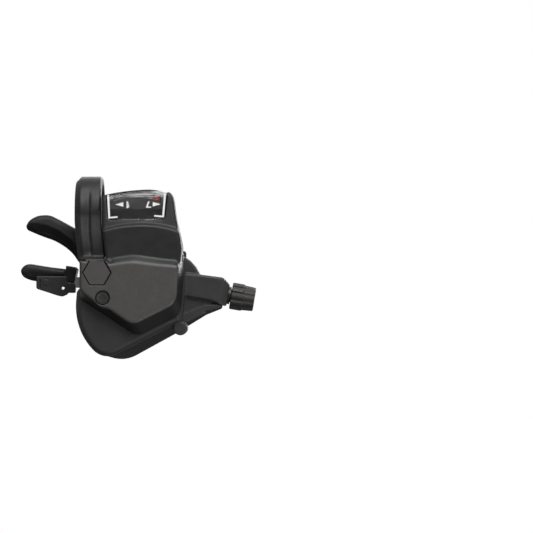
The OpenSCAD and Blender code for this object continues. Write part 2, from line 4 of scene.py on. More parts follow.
import bmesh
import bpy
import numpy as np
from mathutils import Matrix, Vector


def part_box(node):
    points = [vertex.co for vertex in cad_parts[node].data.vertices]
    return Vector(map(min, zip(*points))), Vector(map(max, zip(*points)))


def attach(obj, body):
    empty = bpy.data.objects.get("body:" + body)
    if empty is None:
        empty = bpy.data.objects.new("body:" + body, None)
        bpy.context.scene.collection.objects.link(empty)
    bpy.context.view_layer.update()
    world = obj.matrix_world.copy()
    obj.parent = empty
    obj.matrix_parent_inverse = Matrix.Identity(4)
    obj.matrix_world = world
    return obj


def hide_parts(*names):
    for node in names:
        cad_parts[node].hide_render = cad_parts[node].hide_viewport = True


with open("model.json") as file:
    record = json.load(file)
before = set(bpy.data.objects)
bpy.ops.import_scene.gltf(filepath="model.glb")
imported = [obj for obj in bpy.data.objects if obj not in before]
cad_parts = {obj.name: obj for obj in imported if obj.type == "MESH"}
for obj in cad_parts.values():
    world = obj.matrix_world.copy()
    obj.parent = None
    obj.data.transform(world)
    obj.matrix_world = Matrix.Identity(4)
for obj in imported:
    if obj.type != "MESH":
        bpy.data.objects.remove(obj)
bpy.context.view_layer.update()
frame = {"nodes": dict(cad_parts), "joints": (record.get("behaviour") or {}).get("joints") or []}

# The visual model of a two-lever thumb shifter. Moulded parts are drawn as signed distance
# functions in millimetres, in the row frame, and meshed by a surface net. The rest are the CAD
# nodes with softened edges. A front view shows X to the right and Z up, and -Y faces the viewer.

MM = 0.001
FACE_Y = -23.0  # flat front of the cover
RIM_Y = -17.0  # where the cover meets the case
SPLIT_Y = -14.5  # where the cover meets the neck of the housing
BACK_Y = -2.0  # rear plane of the housing, on the base plate
ROOM_Y = -15.6  # front of the room for the mechanism
NECK_FOOT_Z = -16.0  # height at which the neck begins
WALL = 1.4
BAR_CLEAR = 11.6  # radius kept free around the handlebar, whose axis is X


def centre(node):
    """Middle of a CAD node's box, in millimetres."""
    low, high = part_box(node)
    return (low + high) / 2 / MM


AXLE = centre("axle_nut")
BOLT = centre("hex_cap")
SCREW = centre("cover_screw")
NEEDLE = centre("needle_pin")


# ---------------------------------------------------------------- distance functions

def smax(a, b, k):
    """Larger of two distances, blended over k."""
    h = np.maximum(k - np.abs(a - b), 0.0) / k
    return np.maximum(a, b) + h * h * k / 4


def smin(a, b, k):
    """Smaller of two distances, blended over k."""
    return -smax(-a, -b, k)


def step(t):
    """Smooth rise from 0 to 1 while t goes from 0 to 1."""
    t = np.clip(t, 0.0, 1.0)
    return t * t * (3 - 2 * t)


def curved(points, reach, n=6):
    """Outline whose corners are cut at that reach along both edges and joined by a curve."""
    p = np.array(points, float)
    reach = np.broadcast_to(reach, len(p))
    out = []
    for i, r in enumerate(reach):
        before, corner, after = p[i - 1], p[i], p[(i + 1) % len(p)]
        if not r:
            out.append(corner)
            continue
        start = corner + (before - corner) * r / np.linalg.norm(before - corner)
        end = corner + (after - corner) * r / np.linalg.norm(after - corner)
        for t in np.linspace(0, 1, n + 1):
            out.append((1 - t) ** 2 * start + 2 * t * (1 - t) * corner + t * t * end)
    return np.array(out)


def polygon(u, v, points):
    """Signed distance to a closed outline, negative inside."""
    best, sign = None, 1.0
    p = np.array(points, float)
    for a, b in zip(p, np.roll(p, -1, 0)):
        e = b - a
        wu, wv = u - a[0], v - a[1]
        t = np.clip((wu * e[0] + wv * e[1]) / (e @ e), 0.0, 1.0)
        d = (wu - e[0] * t) ** 2 + (wv - e[1] * t) ** 2
        best = d if best is None else np.minimum(best, d)
        c1, c2, c3 = v >= a[1], v < b[1], e[0] * wv > e[1] * wu
        sign = sign * np.where((c1 & c2 & c3) | (~c1 & ~c2 & ~c3), -1.0, 1.0)
    return sign * np.sqrt(best)


def between(v, low, high):
    """Signed distance to the slab from low to high."""
    return np.maximum(low - v, v - high)


def around(centre_point, x, z):
    """Distance from the line through a point that runs along Y."""
    return np.hypot(x - centre_point.x, z - centre_point.z)


def ridge(x, z, line):
    """How far a point lies above a polyline that runs left to right."""
    px, pz = np.array(line, float).T
    return z - np.interp(x, px, pz)


# ---------------------------------------------------------------- meshing

def net(field, low, high, size):
    """Vertices and faces of the surface where field is zero, on a grid of that cell size."""
    axes = [np.arange(low[i], high[i] + size, size) for i in range(3)]
    shape = [len(a) for a in axes]
    grids = [a.reshape([-1 if i == k else 1 for i in range(3)]) for k, a in enumerate(axes)]
    value = np.broadcast_to(field(*grids), shape).astype(np.float32)
    inside = value < 0
    corners = [(i, j, k) for i in (0, 1) for j in (0, 1) for k in (0, 1)]

    def at(array, c):
        return array[c[0]:shape[0] - 1 + c[0], c[1]:shape[1] - 1 + c[1], c[2]:shape[2] - 1 + c[2]]

    count = sum(at(inside, c).astype(np.int8) for c in corners)
    cells = np.argwhere((count > 0) & (count < 8))
    total = np.zeros((len(cells), 3))
    hits = np.zeros(len(cells))
    for c in corners:
        for axis in range(3):
            if c[axis]:
                continue
            d = list(c)
            d[axis] = 1
            a = value[tuple((cells + c).T)]
            b = value[tuple((cells + d).T)]
            cross = (a < 0) != (b < 0)
            t = np.where(cross, a / np.where(cross, a - b, 1.0), 0.0)
            point = np.repeat(np.array([c], float), len(cells), 0)
            point[:, axis] += t
            total += point * cross[:, None]
            hits += cross
    verts = np.array(low) + size * (cells + total / hits[:, None])
    index = np.full([n - 1 for n in shape], -1, np.int64)
    index[tuple(cells.T)] = np.arange(len(cells))
    faces = []
    for axis in range(3):
        u, v = (axis + 1) % 3, (axis + 2) % 3
        first = [slice(1, n - 1) for n in shape]
        first[axis] = slice(0, shape[axis] - 1)
        second = list(first)
        second[axis] = slice(1, shape[axis])
        a, b = inside[tuple(first)], inside[tuple(second)]
        offset = np.array([0 if i == axis else 1 for i in range(3)])
        for flip, mask in ((False, a & ~b), (True, ~a & b)):
            edge = np.argwhere(mask) + offset
            ring = []
            for du, dv in ((1, 1), (0, 1), (0, 0), (1, 0)):
                cell = edge.copy()
                cell[:, u] -= du
                cell[:, v] -= dv
                ring.append(index[tuple(cell.T)])
            quad = np.stack(ring[::-1] if flip else ring, 1)
            faces.append(quad)
    return settle(field, verts, size), np.concatenate(faces)


def settle(field, verts, size):
    """Moves net vertices onto the surface, along the field's slope."""
    h = 0.1 * size
    for _ in range(3):
        x, y, z = verts.T
        f = field(x, y, z)
        slope = np.stack([
            (field(x + h, y, z) - f) / h,
            (field(x, y + h, z) - f) / h,
            (field(x, y, z + h) - f) / h,
        ], 1)
        move = slope * (f / np.maximum((slope ** 2).sum(1), 0.2))[:, None]
        verts = verts - np.clip(move, -0.5 * size, 0.5 * size)
    return verts


def new_object(name, mesh, material):
    """Adds a mesh object with one material to the scene."""
    obj = bpy.data.objects.new(name, mesh)
    bpy.context.scene.collection.objects.link(obj)
    mesh.materials.append(material)
    return obj


def place(obj, body, slot, *nodes):
    """Puts a finished piece on its body, and hides the CAD nodes that it stands for."""
    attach(obj, body)
    if nodes:
        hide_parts(*nodes)
    return obj


def moulded(name, field, low, high, size, material, move=None):
    """A meshed distance field, made in millimetres and kept in metres."""
    verts, faces = net(field, low, high, size)
    mesh = bpy.data.meshes.new(name)
    mesh.from_pydata((verts * MM).tolist(), [], faces.tolist())
    if move is not None:
        mesh.transform(move)
    mesh.shade_smooth()
    return new_object(name, mesh, material)


def soften(node, width, material, segments=2):
    """Gives a CAD node small rounded edges and a finished material."""
    obj = frame["nodes"][node]
    obj.data.materials.clear()
    obj.data.materials.append(material)
    if width:
        bevel = obj.modifiers.new("edges", "BEVEL")
        bevel.width = width * MM
        bevel.segments = segments
        bevel.limit_method = "ANGLE"
        bevel.angle_limit = math.radians(40)
        bevel.use_clamp_overlap = True
        bevel.harden_normals = True
    obj.data.shade_smooth()
    obj.data.set_sharp_from_angle(angle=math.radians(38))
    return obj


# ---------------------------------------------------------------- materials

class Shader:
    """A Principled material with a few helpers for procedural detail."""

    def __init__(self, name, colour, roughness, metallic=0.0):
        self.material = bpy.data.materials.new(name)
        self.material.use_nodes = True
        self.tree = self.material.node_tree
        self.shader = self.tree.nodes["Principled BSDF"]
        self.set("Base Color", (*colour, 1.0))
        self.set("Roughness", roughness)
        self.set("Metallic", metallic)
        self.coords = self.tree.nodes.new("ShaderNodeTexCoord").outputs["Object"]
        self.height = None

    def set(self, socket, value):
        """Sets a plain input of the shader."""
        self.shader.inputs[socket].default_value = value
        return self

    def link(self, a, b):
        self.tree.links.new(a, b)

    def stretched(self, scale):
        """Object coordinates scaled by axis, so that a texture runs in lines."""
        node = self.tree.nodes.new("ShaderNodeMapping")
        node.inputs["Scale"].default_value = scale
        self.link(self.coords, node.inputs["Vector"])
        return node.outputs["Vector"]

    def noise(self, scale, detail=2.0, vector=None):
        node = self.tree.nodes.new("ShaderNodeTexNoise")
        node.inputs["Scale"].default_value = scale
        node.inputs["Detail"].default_value = detail
        self.link(vector or self.coords, node.inputs["Vector"])
        return node.outputs["Fac"]

    def cells(self, scale):
        node = self.tree.nodes.new("ShaderNodeTexVoronoi")
        node.inputs["Scale"].default_value = scale
        self.link(self.coords, node.inputs["Vector"])
        return node.outputs["Distance"]

    def spread(self, value, low, high, start=0.3, end=0.7):
        """Maps start..end of a value to low..high."""
        node = self.tree.nodes.new("ShaderNodeMapRange")
        for name, number in (("From Min", start), ("From Max", end), ("To Min", low), ("To Max", high)):
            node.inputs[name].default_value = number
        self.link(value, node.inputs["Value"])
        return node.outputs["Result"]

    def tint(self, value, first, second, start=0.35, end=0.65):
        """Colour that goes from first to second while a value goes from start to end."""
        node = self.tree.nodes.new("ShaderNodeValToRGB")
        ramp = node.color_ramp.elements
        ramp[0].position, ramp[1].position = start, end
        ramp[0].color, ramp[1].color = (*first, 1.0), (*second, 1.0)
        self.link(value, node.inputs["Fac"])
        return node.outputs["Color"]

    def colour_from(self, socket):
        self.link(socket, self.shader.inputs["Base Color"])
        return self

    def roughness_from(self, socket):
        self.link(socket, self.shader.inputs["Roughness"])
        return self

    def bump(self, value, strength, distance):
        """Adds a bump on top of those made before, with the distance in millimetres."""
        node = self.tree.nodes.new("ShaderNodeBump")
        node.inputs["Strength"].default_value = strength
        node.inputs["Distance"].default_value = distance * MM
        self.link(value, node.inputs["Height"])
        if self.height is not None:
            self.link(self.height, node.inputs["Normal"])
        self.height = node.outputs["Normal"]
        self.link(self.height, self.shader.inputs["Normal"])
        return self


def moulded_plastic(name, colour, roughness, grain=0.5, wear=1.35, gloss=0.5, panel=None):
    """Matte moulded plastic: spark-eroded grain, uneven sheen, and a painted highlight that makes
    convex edges paler.

    A panel is a coarser, paler finish on everything in front of that depth.
    """
    s = Shader(name, colour, roughness)
    # Painted highlight: convex edges are painted paler by the factor wear.
    edge_highlight = tuple(c * wear for c in colour)
    dark = tuple(c * 0.86 for c in colour)
    edge = s.tree.nodes.new("ShaderNodeNewGeometry").outputs["Pointiness"]
    base = s.tint(s.noise(110, 3), dark, colour)
    if panel:
        depth, paler = panel
        axes = s.tree.nodes.new("ShaderNodeSeparateXYZ")
        s.link(s.coords, axes.inputs["Vector"])
        blend = s.tree.nodes.new("ShaderNodeMix")
        blend.data_type = "RGBA"
        front = s.spread(axes.outputs["Y"], 1.0, 0.0, (depth - 0.1) * MM, (depth + 0.25) * MM)
        s.link(front, blend.inputs["Factor"])
        s.link(base, blend.inputs["A"])
        s.link(s.tint(s.noise(900, 4), tuple(c * 0.9 for c in paler), paler), blend.inputs["B"])
        base = blend.outputs["Result"]
    # Painted highlight: where pointiness shows a convex edge, the colour goes to the paler one.
    mix = s.tree.nodes.new("ShaderNodeMix")
    mix.data_type = "RGBA"
    s.link(s.spread(edge, 0.0, 1.0, 0.515, 0.58), mix.inputs["Factor"])
    s.link(base, mix.inputs["A"])
    mix.inputs["B"].default_value = (*edge_highlight, 1.0)
    s.colour_from(mix.outputs["Result"])
    s.roughness_from(s.spread(s.noise(260, 3), roughness - 0.06, roughness + 0.07))
    s.set("IOR", 1.47).set("Specular IOR Level", gloss)
    s.bump(s.cells(6500), grain * 0.7, 0.02)
    s.bump(s.noise(5200, 3), grain * 0.5, 0.02)
    return s.material


def steel(name, colour, roughness, scale=(60, 900, 60), wear=0.12):
    """Drawn or stamped steel: fine lines in one direction and a few duller patches."""
    s = Shader(name, colour, roughness, metallic=1.0)
    lines = s.noise(1.0, 3, s.stretched(scale))
    dull = tuple(c * (1 - wear * 2) for c in colour)
    s.colour_from(s.tint(s.noise(240, 4), dull, colour))
    s.roughness_from(s.spread(lines, roughness - wear / 2, roughness + wear))
    s.bump(lines, 0.12, 0.02)
    return s.material


def speckled(name, colour, roughness, tones, speckle, grain, relief):
    """A plain material with two close tones and a light bump, each from its own noise."""
    s = Shader(name, colour, roughness)
    s.colour_from(s.tint(s.noise(*speckle), *tones))
    s.bump(s.noise(*grain), *relief)
    return s


def build_materials():
    """All materials by the name that the assembling functions use."""
    m = {}
    m["cover"] = moulded_plastic("cover_plastic", (0.012, 0.012, 0.0125), 0.46,
                                 panel=(FACE_Y + 0.3, (0.072, 0.069, 0.067)))
    m["cap"] = moulded_plastic("cap_plastic", (0.05, 0.047, 0.046), 0.52)
    m["housing"] = moulded_plastic("housing_plastic", (0.031, 0.031, 0.0305), 0.54)
    m["plate"] = moulded_plastic("plate_coat", (0.038, 0.038, 0.038), 0.5, grain=0.3)
    m["clamp"] = moulded_plastic("clamp_paint", (0.018, 0.0175, 0.0173), 0.46, grain=0.25, gloss=0.38)
    m["lever"] = moulded_plastic("lever_plastic", (0.016, 0.0157, 0.0165), 0.5, grain=0.35,
                                 gloss=0.25)
    m["lever_plate"] = moulded_plastic("lever_plate_plastic", (0.022, 0.022, 0.0215), 0.5, grain=0.4)
    m["knob"] = moulded_plastic("knob_plastic", (0.027, 0.0255, 0.024), 0.5, grain=0.3)
    m["collar"] = moulded_plastic("collar_plastic", (0.014, 0.014, 0.014), 0.4, grain=0.2)
    m["zinc"] = steel("zinc_steel", (0.62, 0.63, 0.65), 0.34)
    m["bright"] = steel("bright_steel", (0.74, 0.74, 0.74), 0.26, scale=(900, 60, 60))
    m["spring"] = steel("spring_steel", (0.5, 0.51, 0.53), 0.3, scale=(400, 400, 400))
    m["black_steel"] = steel("black_steel", (0.2, 0.2, 0.2), 0.36)
    acetal = speckled("gear_white", (0.78, 0.77, 0.72), 0.42,
                      ((0.72, 0.7, 0.64), (0.8, 0.79, 0.75)), (300, 3), (900, 3), (0.1, 0.02))
    acetal.set("Subsurface Weight", 0.15).set("Subsurface Scale", 0.001)
    m["acetal"] = acetal.material
    m["drum"] = speckled("drum_plastic", (0.62, 0.6, 0.54), 0.4,
                         ((0.55, 0.53, 0.47), (0.64, 0.62, 0.57)), (260, 3), (900, 3),
                         (0.1, 0.02)).material
    glass = Shader("window_clear", (0.9, 0.9, 0.92), 0.06)
    glass.set("Transmission Weight", 1.0).set("IOR", 1.42)
    glass.roughness_from(glass.spread(glass.noise(700, 3), 0.01, 0.04))
    m["window"] = glass.material
    mask = Shader("scale_black", (0.004, 0.004, 0.005), 0.32)
    strip = mask.tree.nodes.new("ShaderNodeSeparateXYZ")
    mask.link(mask.coords, strip.inputs["Vector"])
    level = mask.spread(strip.outputs["Z"], 0.0, 1.0, 1.3 * MM, 1.8 * MM)
    mask.colour_from(mask.tint(level, (0.004, 0.004, 0.005), (0.075, 0.07, 0.067), 0.0, 1.0))
    mask.bump(mask.noise(900, 2), 0.1, 0.02)
    m["mask"] = mask.material
    # Painted light: the slot floor's greys are set paler to offset the shadow it sits in behind the
    # scale. The light and dark bands run along Z.
    groove = Shader("scale_grey", (0.2, 0.2, 0.2), 0.35)
    wave = groove.tree.nodes.new("ShaderNodeTexWave")
    wave.bands_direction = "Z"
    wave.inputs["Scale"].default_value = 420
    groove.link(groove.coords, wave.inputs["Vector"])
    groove.colour_from(groove.tint(wave.outputs["Fac"], (0.3, 0.3, 0.3), (0.95, 0.95, 0.94), 0.2, 0.8))
    groove.bump(wave.outputs["Fac"], 0.4, 0.1)
    m["groove"] = groove.material
    m["red"] = speckled("marker_red", (0.95, 0.16, 0.09), 0.35,
                        ((0.93, 0.14, 0.08), (0.98, 0.2, 0.12)), (700, 3), (1500, 2),
                        (0.15, 0.02)).material
    m["print"] = speckled("print_white", (0.82, 0.82, 0.8), 0.45,
                          ((0.74, 0.74, 0.72), (0.86, 0.86, 0.84)), (1500, 3), (3000, 2),
                          (0.2, 0.01)).material
    return m


# ---------------------------------------------------------------- housing and cover

# Outlines are lists of (X, Z) corners in millimetres, each with the reach of its rounding. FACE
# and RIM are the front and back edge of the cover's lower part, and the sides slope between them.

FACE = curved(
    [(-2.2, -17.9), (-2.2, -28.7), (2.4, -32.1), (5.2, -34.8), (8.4, -35.3), (17.0, -41.3),
     (33.3, -33.1), (34.0, -19.6), (30.1, -19.4), (24.2, -18.9), (17.4, -18.0), (13.1, -18.4),
     (8.6, -19.1), (7.4, -17.6)],
    [0.5, 1.5, 1.2, 1.2, 1.2, 2.8, 3.4, 0.6, 1.8, 2.4, 2.0, 2.0, 0.6, 0.6], 8)
RIM = curved(
    [(-2.8, -17.4), (-2.8, -31.9), (18.6, -46.0), (35.0, -37.6), (36.1, -23.0), (35.3, -14.9),
     (30.0, -14.6), (24.0, -13.0), (17.4, -12.2), (13.0, -13.0), (7.2, -14.5), (6.8, -17.4)],
    [0.5, 1.6, 3.2, 3.2, 2.0, 0.5, 2.4, 2.8, 2.0, 2.0, 0.8, 0.4], 5)
NECK = curved(
    [(5.4, 11.0), (5.4, -4.0), (7.3, -19.4), (7.8, -22.0), (33.6, -22.0), (34.9, -18.0),
     (35.4, -14.0), (35.0, -9.8), (33.3, -2.3), (32.3, 5.4), (31.0, 7.9), (26.0, 8.8), (20.0, 11.0)],
    [0.4, 2.0, 1.0, 0.4, 0.8, 1.5, 1.5, 2.0, 3.0, 1.2, 1.2, 1.5, 0])
CASE = curved(
    [(9.0, -16.0), (9.0, -27.1), (-2.2, -27.3), (-3.9, -29.0), (-4.4, -34.7), (-3.9, -39.6),
     (-2.3, -44.5), (0.1, -48.6), (2.9, -51.7), (5.4, -53.0), (7.9, -53.3), (9.9, -52.9),
     (31.3, -42.0), (35.4, -40.4), (36.6, -25.0), (35.7, -16.0)],
    [0, 0.5, 0.5, 0.6, 2.4, 2.4, 2.2, 2.1, 1.3, 1.2, 0.9, 0.9, 1.5, 1.5, 1.5, 0.5], 4)
LENS = curved([(6.9, 9.5), (7.8, -1.6), (8.7, -2.5), (27.8, -2.5), (28.8, -1.5), (30.0, 9.5)], 0.4)
NECK_TOP = 8.5
CAP_HALF = 4.3  # half width of the hexagonal cap, across flats
CAP_SEAT_Y = -20.45
SEAM_FLOOR_Y = -21.7  # bottom of the narrow seam around the cap
BOSS_BACK_Y = -20.3
SINK_RADIUS = 2.62  # countersink of the cover screw
SINK_FLOOR_Y = -20.55
LENS_THICK = 0.6
LENS_PROUD = 0.02  # how far the window stands in front of the neck's surface
MASK_DEPTH = 0.66  # how far the printed scale lies behind the neck's surface
MASK_THICK = 0.45
SLOT_HALF = 8.8  # half width of the slot in the scale
SLOT_CENTRE_Z = -24.2  # height of the centre of the slot's arc


def crowned(x, z):
    """Height with the arch of the neck's ledges taken out."""
    rise = np.clip((z + 17.0) / 26.0, 0.0, 1.0)
    return z + (3.0 - 1.9 * rise) * ((x - 16.0 - 9.0 * rise) / 14.0) ** 2 - 0.4


def neck_front(zs):
    """Depth of the neck's front surface at each height."""
    return (-20.6 + 0.04 * (zs + 16) + 1.5 * step((zs + 5.3) / 1.5)
            + 0.14 * np.maximum(zs + 4.6, 0))


def neck_field(x, y, z):
    """Upper part of the cover and the housing, under and around the window."""
    zs = crowned(x, z)
    front = (neck_front(zs) - y) * 0.9
    body = smax(front, zs - NECK_TOP, 2.6)
    return smax(body, polygon(x, z, NECK), 1.3)


def block_field(x, y, z):
    """Lower part of the cover, whose sides slope out from the flat face."""
    t = np.clip((y - FACE_Y) / (RIM_Y - FACE_Y), -0.2, 1.1)
    side = (1 - t) * polygon(x, z, FACE) + t * polygon(x, z, RIM)
    return smax(side * 0.9, FACE_Y - y, 0.9)


def seated(y, z):
    """Positive behind the surface on which the cover sits."""
    return np.where(z < NECK_FOOT_Z, y - RIM_Y, y - SPLIT_Y)


def hexagon(x, z, half):
    """Signed distance to a hexagon with corners to the left and right."""
    u, v = np.abs(x - BOLT.x), np.abs(z - BOLT.z)
    return np.maximum(v, u * math.sin(math.pi / 3) + v * 0.5) - half


def lens_area(x, z):
    """Outline of the window, cut off below the neck's arched top."""
    return np.maximum(polygon(x, z, LENS), crowned(x, z) - NECK_TOP + 0.65)


def cover_field(x, y, z):
    """Front cover: a shell with bosses behind the cap and the screw, and openings for both."""
    cap = hexagon(x, z, CAP_HALF)
    head = around(SCREW, x, z)
    outer = smin(block_field(x, y, z), neck_field(x, y, z), 0.5)
    shell = np.maximum(outer, -(outer + WALL))
    boss = np.minimum(head - 3.3, cap - 1.0)
    boss = np.maximum(np.maximum(boss, FACE_Y + 0.6 - y), np.maximum(y - BOSS_BACK_Y, outer))
    shell = np.minimum(shell, boss)
    shell = smax(shell, seated(y, z), 0.5)
    shell = smax(shell, -np.maximum(lens_area(x, z) - 0.12, y + 11.0), 0.3)
    shell = smax(shell, -np.maximum(cap - 0.36, y - SEAM_FLOOR_Y), 0.2)
    shell = np.maximum(shell, -np.maximum(cap - 0.02, y - CAP_SEAT_Y))
    shell = smax(shell, -np.maximum(head - SINK_RADIUS, y - SINK_FLOOR_Y), 0.3)
    return np.maximum(shell, BAR_CLEAR - np.hypot(y, z))


def lens_field(x, y, z):
    """Clear window, a sheet that follows the neck's front and top."""
    outer = neck_field(x, y, z) - LENS_PROUD
    sheet = np.maximum(outer, -(outer + LENS_THICK))
    return smax(np.maximum(sheet, y + 12.3), lens_area(x, z), 0.25)


def mask_field(x, y, z):
    """Printed scale behind the window, with the slot cut out of it."""
    outer = neck_field(x, y, z) + MASK_DEPTH
    sheet = np.maximum(outer, -(outer + MASK_THICK))
    sheet = np.maximum(np.maximum(sheet, y + 12.4), lens_area(x, z) + 0.02)
    return np.maximum(sheet, -slot_area(x, z))


def slot_area(x, z):
    """Arc-shaped slot that shows the marker."""
    r = np.hypot(x - NEEDLE.x, z - SLOT_CENTRE_Z)
    band = np.maximum(between(r, 30.0, 32.3), crowned(x, z) - 7.3)
    return smax(band, np.abs(x - NEEDLE.x) - SLOT_HALF, 0.3)


def slot_floor_field(x, y, z):
    """Ribbed arc behind the slot, with one rib for each pitch of radius."""
    rib_pitch = 0.62
    middle_y = -12.55
    r = around(NEEDLE, x, z)
    ribs = 0.12 * np.cos(r * 2 * math.pi / rib_pitch)
    sheet = np.abs(y - middle_y) - 0.22 - ribs * (y < middle_y)
    sheet = np.maximum(np.maximum(sheet, np.abs(r - 19.3) - 1.5), np.abs(x - NEEDLE.x) - 9.6)
    return np.maximum(sheet, neck_field(x, y, z) + 1.3)


def cable_frame():
    """Matrix from the adjuster's own frame, +Z outwards, to the row frame."""
    joint = next(j for j in frame["joints"] if j["name"] == "barrel_turn")
    out = Vector(joint["axis"]).normalized()
    turn = Vector((0, 0, 1)).rotation_difference(out).to_matrix().to_4x4()
    return Matrix.Translation(Vector(joint["pos_m"])) @ turn


CABLE = cable_frame()  # the adjuster's frame, in metres
CABLE_END = np.array(CABLE.translation) / MM  # its origin, in millimetres
CABLE_OUT = np.array(CABLE.to_3x3() @ Vector((0, 0, 1)))


def cable_polar(x, y, z):
    """Distance along the cable line and away from it."""
    dx, dy, dz = x - CABLE_END[0], y - CABLE_END[1], z - CABLE_END[2]
    s = dx * CABLE_OUT[0] + dy * CABLE_OUT[1] + dz * CABLE_OUT[2]
    r2 = dx * dx + dy * dy + dz * dz - s * s
    return s, np.sqrt(np.maximum(r2, 0))


BOSS = curved(
    [(34.0, -22.0), (34.0, -30.5), (36.2, -30.8), (45.8, -32.5), (50.0, -34.3), (51.5, -34.6),
     (52.5, -30.0), (52.9, -26.6), (50.4, -23.9), (42.0, -22.8)],
    [0, 0, 0.4, 0.8, 0.5, 0.5, 1.0, 0.6, 0.6, 1.5])
WING = curved(
    [(33.0, -40.8), (36.8, -40.8), (43.4, -37.4), (43.8, -36.5), (48.8, -35.4), (50.2, -33.8),
     (50.0, -31.0), (33.0, -28.0)],
    [0, 0.8, 0.4, 0.3, 0.8, 0.8, 0.5, 0])
FIN = curved(
    [(33.0, -16.2), (36.0, -16.1), (38.3, -17.7), (40.2, -19.8), (41.4, -21.9), (42.2, -23.8),
     (42.2, -27.0), (33.0, -27.0)],
    [0, 0.8, 0.9, 0.9, 0.8, 0.5, 0, 0])


def housing_field(x, y, z):
    """Main housing with its neck, cable boss, wing and fin, hollowed out for the mechanism."""
    d_case = polygon(x, z, CASE)
    case = smax(d_case, RIM_Y - y, 0.6)
    case = smax(case, (d_case + RIM_Y - y + 1.5) * 0.7071, 0.5)
    drum = np.maximum(around(AXLE, x, z) - 11.7, RIM_Y - y)
    case = np.minimum(case, drum)
    s, r = cable_polar(x, y, z)
    boss = smax(polygon(x, z, BOSS), np.abs(y + 9.9) - 5.2, 1.0)
    boss = smax(boss, (s + 3.6 - 1.6 * (y + 15.1)) * 0.53, 0.4)
    boss = smax(boss, s + 0.6, 0.5)
    below = ridge(x, z, [(33.0, -38.0), (36.4, -36.8), (43.5, -33.9), (49.2, -33.9)])
    wing = smax(polygon(x, z, WING), -14.2 + 0.9 * step(below / 0.5 + 0.5) - y, 0.7)
    fin = smax(polygon(x, z, FIN), np.abs(y + 9.6) - 3.6, 0.8)
    solid = smin(smin(case, boss, 0.5), smin(wing, fin, 0.4), 0.4)
    outer_neck = neck_field(x, y, z)
    neck = np.maximum(outer_neck, np.maximum(SPLIT_Y - y, NECK_FOOT_Z - z))
    solid = np.maximum(np.minimum(solid, neck), y - BACK_Y)
    inner_neck = np.maximum(outer_neck + WALL, 12.5 - np.hypot(y, z))
    inner_neck = np.maximum(inner_neck, NECK_FOOT_Z - z)
    needle_way = np.maximum(np.maximum(between(x, 9.6, 34.2), between(y, -15.2, -11.8)),
                            between(z, -18.2, -14.2))
    inner_case = np.maximum(d_case + WALL, ROOM_Y - y)
    drum_room = np.maximum(around(AXLE, x, z) - 10.7, ROOM_Y - y)
    hollow = np.minimum(np.minimum(inner_neck, needle_way), np.minimum(inner_case, drum_room))
    solid = np.maximum(solid, -hollow)
    lug = np.maximum(between(x, -6.0, 9.0), between(z, -27.1, -15.8))
    solid = np.maximum(solid, -lug)
    opening = np.maximum(lens_area(x, z) - 0.1, np.maximum(1.0 - z, y + 11.9))
    solid = np.maximum(solid, -opening)
    post = smax(np.hypot(x - 34.6, z + 42.8) - 2.6, between(y, ROOM_Y, BACK_Y), 0.5)
    solid = smin(solid, post, 0.2)
    thread = np.maximum(r - 2.62, -12.5 - s)
    socket = np.maximum(r - 3.42, -3.9 - s)
    solid = np.maximum(solid, -np.minimum(thread, socket))
    return np.maximum(solid, BAR_CLEAR - np.hypot(y, z))


# ---------------------------------------------------------------- clamp

# STRAP and REAR_LUG are seen from the side, (Y, Z). BAND is the ring's section, (X, radius).

STRAP = curved(
    [(-14.1, 0.5), (-14.2, -1.0), (-14.8, -4.0), (-15.7, -8.0), (-16.3, -12.0), (-16.5, -16.2),
     (-20.3, -17.2), (-20.3, -26.6), (-9.0, -26.6), (-9.0, 0.5)],
    [0, 0.7, 1.4, 1.9, 1.4, 0.8, 0.5, 1.6, 0, 0])
REAR_LUG = curved(
    [(-7.5, -8.0), (-7.5, -26.6), (-0.2, -26.6), (-0.2, -18.6), (2.6, -13.4), (2.6, -8.0)],
    [0, 0, 1.0, 1.5, 1.5, 0])
BAND = curved([(-5.0, 10.6), (5.0, 10.6), (5.0, 13.3), (4.2, 14.15), (-2.9, 14.15), (-5.0, 12.1)], 0.25)


def clamp_field(x, y, z):
    """Clamp band: ring around the bar, strap down the front, lugs on both sides of the split."""
    drop = np.maximum(-2.0 - z, 0)
    u = x - 0.118 * drop * drop / (drop + 2.0)
    low = np.abs(x - 4.0) - 4.5
    r = np.hypot(y, z)
    front = polygon(y, z, STRAP)
    chamfer = (front - 5.0 - u + 2.05) * 0.7071
    strap = smax(smax(front, np.abs(u) - 5.0, 0.4), chamfer, 0.3)
    strap = np.maximum(strap, -17.3 - z)
    lug = smax(front, np.maximum(low, z + 17.3), 0.6)
    back = polygon(y, z, REAR_LUG)
    rear = smax(back, np.where(z > -16.5, np.abs(u) - 5.0, low), 0.6)
    band = np.minimum(polygon(u, r, BAND), strap)
    line = 0.5 + 0.9 * step((-5.0 - z) / 10)
    valley = 0.6 * step((10.5 - z) / 7) * step((2 - y) / 3) * step((z + 17.0) / 3)
    side = x - line
    band = band + valley * np.exp(-(side / np.where(side < 0, 1.7, 0.5)) ** 2)
    band = smin(np.minimum(band, lug), rear, 0.3)
    split = np.maximum(between(y, -9.0, -7.5), z)
    band = np.maximum(band, -split)
    band = np.maximum(band, 11.8 - around(AXLE, x, z))
    band = np.maximum(band, -np.maximum(around(BOLT, x, z) - 3.75, -3.2 - y))
    band = np.maximum(band, -np.maximum(hexagon(x, z, 4.1), y + 17.2))
    return smax(band, 11.1 - r, 0.3)


# ---------------------------------------------------------------- levers

